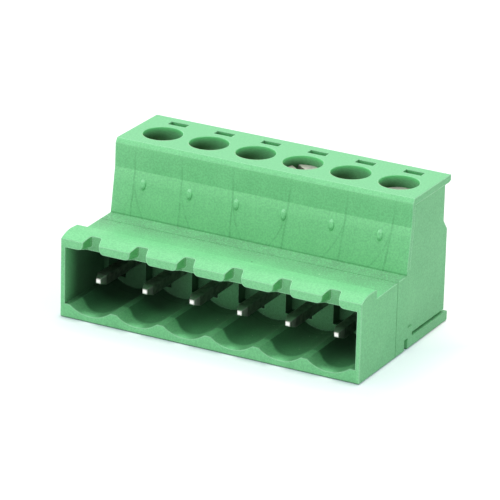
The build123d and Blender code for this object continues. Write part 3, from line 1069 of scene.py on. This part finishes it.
@dataclass(frozen=True)
class Mouldings:
    """The three green mouldings: tower, pin shroud and base cover."""

    main_housing: MouldedGreen = TowerGreen("green_polyamide_with_flow_lines")
    pin_shroud: MouldedGreen = ShroudGreen("green_polyamide_with_mouth")
    base_cover: MouldedGreen = MouldedGreen("green_polyamide")

    def dress(self, tools: Toolbox) -> None:
        """Gives the node that each field is named after its plastic."""
        for node, finish in vars(self).items():
            dress_node(node, finish.build(tools))


@dataclass
class Clamps:
    """The six clamps: contact, rising cage and screw."""

    slot_degrees: tuple[float, ...] = (24.0, -52.0, 71.0, -38.0, 16.0, 8.0)
    tin: Plating = PinPlating("tin_plate", (0.36, 0.36, 0.34, 1), (0.22, 0.22, 0.21, 1), 0.30,
                              edge_radius=0.16, scuff_depth=0.0)
    nickel: Plating = Plating("nickel_plate", (0.62, 0.59, 0.53, 1), (0.46, 0.44, 0.41, 1), 0.24)
    zinc: Plating = Plating("zinc_plate", (0.66, 0.63, 0.57, 1), (0.46, 0.45, 0.42, 1), 0.46,
                            scuff_depth=0.008)

    def dress(self, tools: Toolbox) -> None:
        """Gives contacts and cages their plating and builds the threaded screws.

        Args:
            tools: the shared shader groups.
        """
        tin, nickel, zinc = (metal.build(tools) for metal in (self.tin, self.nickel, self.zinc))
        for pole, angle in enumerate(self.slot_degrees, start=1):
            dress_node(f"contact_pin_{pole}", tin)
            dress_node(f"clamp_cage_{pole}", nickel)
            ClampScrew(pole, angle).build(zinc)


@dataclass(frozen=True)
class Studio:
    """White floor, soft light from above and the photograph's camera.

    The floor's steps and drop are in millimetres, and its size is in metres.
    """

    floor_size: float = 6.0
    floor_drop: float = 0.01
    floor_white: Colour = (0.800, 0.800, 0.800, 1.0)
    near_lift: Colour = (0.094, 0.172, 0.190, 1.0)
    far_lift: Colour = (0.280, 0.300, 0.300, 1.0)
    far_behind: Zone = Zone(back=Ramp(0.5, 9.0))
    far_right: Zone = Zone(across=Ramp(17.0, 24.0))
    far_in_front: Zone = Zone(back=Ramp(-10.3, -15.0))
    room_white: Colour = (1.0, 1.0, 1.0, 1.0)
    sky: Ramp = Ramp(0.0, 0.75, 0.64, 0.78)
    front: Ramp = Ramp(0.3, -0.8)
    front_gain: Ramp = Ramp(0.75, 0.3, 0.0, 0.12)
    left_gain: float = 0.42
    key_strength: float = 1.41
    key_softness: float = 8.0
    key_azimuth: float = 160.0
    key_elevation: float = 87.0
    key_distance: float = 0.3
    azimuth: float = 27.7425
    elevation: float = 21.1347
    roll: float = 1.5418
    distance: float = 383.91
    focal_pixels: float = 4054.9
    picture_pixels: float = 500.0
    sensor: float = 36.0
    clip_start: float = 0.02
    clip_end: float = 20.0
    target: tuple[float, float, float] = (0.0, -0.275, 8.0)
    slide_right: float = -0.4375
    slide_up: float = -0.8531

    def build(self) -> None:
        """Builds floor, world, lamp and camera."""
        self.add_floor()
        self.light_world()
        self.add_key()
        self.add_camera()

    def seen_directly(self, graph: Graph) -> Socket:
        """1 for rays of the camera and of mirror-like or clear surfaces, else 0."""
        path = graph.add("ShaderNodeLightPath").outputs
        return graph.largest(path["Is Camera Ray"], path["Is Glossy Ray"],
                             path["Is Transmission Ray"])

    def towards(self, azimuth: float, elevation: float) -> Vector:
        """The direction of an azimuth from the front and an elevation, both in degrees."""
        turn, rise = math.radians(azimuth), math.radians(elevation)
        level = math.cos(rise)
        return Vector((math.sin(turn) * level, -math.cos(turn) * level, math.sin(rise)))

    def add_floor(self) -> None:
        """A wide white sheet that keeps the shadow and is lifted to white away from the block; near
        the block the lift is weaker and cyan, which paints a cyan tint into the shade.
        """
        half, level = self.floor_size / 2, -self.floor_drop * MM
        corners = np.array([(-half, -half, level), (half, -half, level), (half, half, level),
                            (-half, half, level)])
        floor = add_mesh("floor", [(corners, [[0, 1, 2, 3]])], 0.0)
        material = bpy.data.materials.new("white_sheet")
        material.use_nodes = True
        graph = Graph(material.node_tree)
        matt = graph.add("ShaderNodeBsdfDiffuse", {"Color": self.floor_white})
        away = Surface(graph).either(self.far_behind, self.far_right, self.far_in_front)
        # a weaker cyan glow near the block paints a cyan tint into its shade
        lift = graph.colours(away, self.near_lift, self.far_lift)
        glow = graph.add("ShaderNodeEmission", {0: lift, 1: self.seen_directly(graph)})
        both = graph.add("ShaderNodeAddShader", {0: matt.outputs[0], 1: glow.outputs[0]})
        graph.add("ShaderNodeOutputMaterial", {"Surface": both.outputs[0]})
        floor.data.materials.append(material)

    def light_world(self) -> None:
        """A white room: white where it is seen, and as light brighter above, left and in front."""
        world = bpy.data.worlds.new("white_room")
        bpy.context.scene.world = world
        world.use_nodes = True
        graph = Graph(world.node_tree)
        east, north, high = graph.split(graph.add("ShaderNodeTexCoord").outputs["Generated"])
        gain = graph.product(graph.step(north, self.front), graph.step(high, self.front_gain))
        sky = graph.product(graph.step(high, self.sky),
                            graph.rest(graph.product(east, self.left_gain)),
                            graph.maths("ADD", 1.0, gain))
        strength = graph.maths("MAXIMUM", self.seen_directly(graph), sky)
        room = graph.add("ShaderNodeBackground", {"Color": self.room_white, "Strength": strength})
        graph.add("ShaderNodeOutputWorld", {"Surface": room.outputs[0]})

    def add_key(self) -> None:
        """A soft sun, almost straight above and a little behind the block."""
        lamp = bpy.data.lights.new("key", "SUN")
        lamp.energy = self.key_strength
        lamp.angle = math.radians(self.key_softness)
        key = bpy.data.objects.new("key", lamp)
        bpy.context.scene.collection.objects.link(key)
        direction = self.towards(self.key_azimuth, self.key_elevation)
        key.rotation_mode = "QUATERNION"
        key.rotation_quaternion = direction.to_track_quat("Z", "Y")
        key.location = direction * self.key_distance

    def add_camera(self) -> None:
        """The camera, from the angles, roll and distance fitted to the photograph."""
        back = self.towards(self.azimuth, self.elevation)
        level = (-back).cross(Vector((0, 0, 1))).normalized()
        upright = level.cross(-back)
        cosine, sine = math.cos(math.radians(self.roll)), math.sin(math.radians(self.roll))
        right, up = cosine * level + sine * upright, cosine * upright - sine * level
        place = Vector(self.target) + right * self.slide_right + up * self.slide_up
        place += back * self.distance
        data = bpy.data.cameras.new("camera")
        data.sensor_width = self.sensor
        data.lens = self.focal_pixels / self.picture_pixels * self.sensor
        data.clip_start, data.clip_end = self.clip_start, self.clip_end
        camera = bpy.data.objects.new("camera", data)
        turned = Matrix((right, up, back)).transposed().to_4x4()
        camera.matrix_world = Matrix.Translation(place * MM) @ turned
        bpy.context.scene.collection.objects.link(camera)
        bpy.context.scene.camera = camera


def main() -> None:
    """Builds studio, mouldings and clamps in order."""
    logging.basicConfig(level=logging.INFO, format="%(name)s %(message)s")
    bpy.context.scene.view_settings.view_transform = "Standard"
    Studio().build()
    tools = Toolbox()
    Mouldings().dress(tools)
    Clamps().dress(tools)
    bpy.context.view_layer.update()


if __name__ == "__main__":
    main()
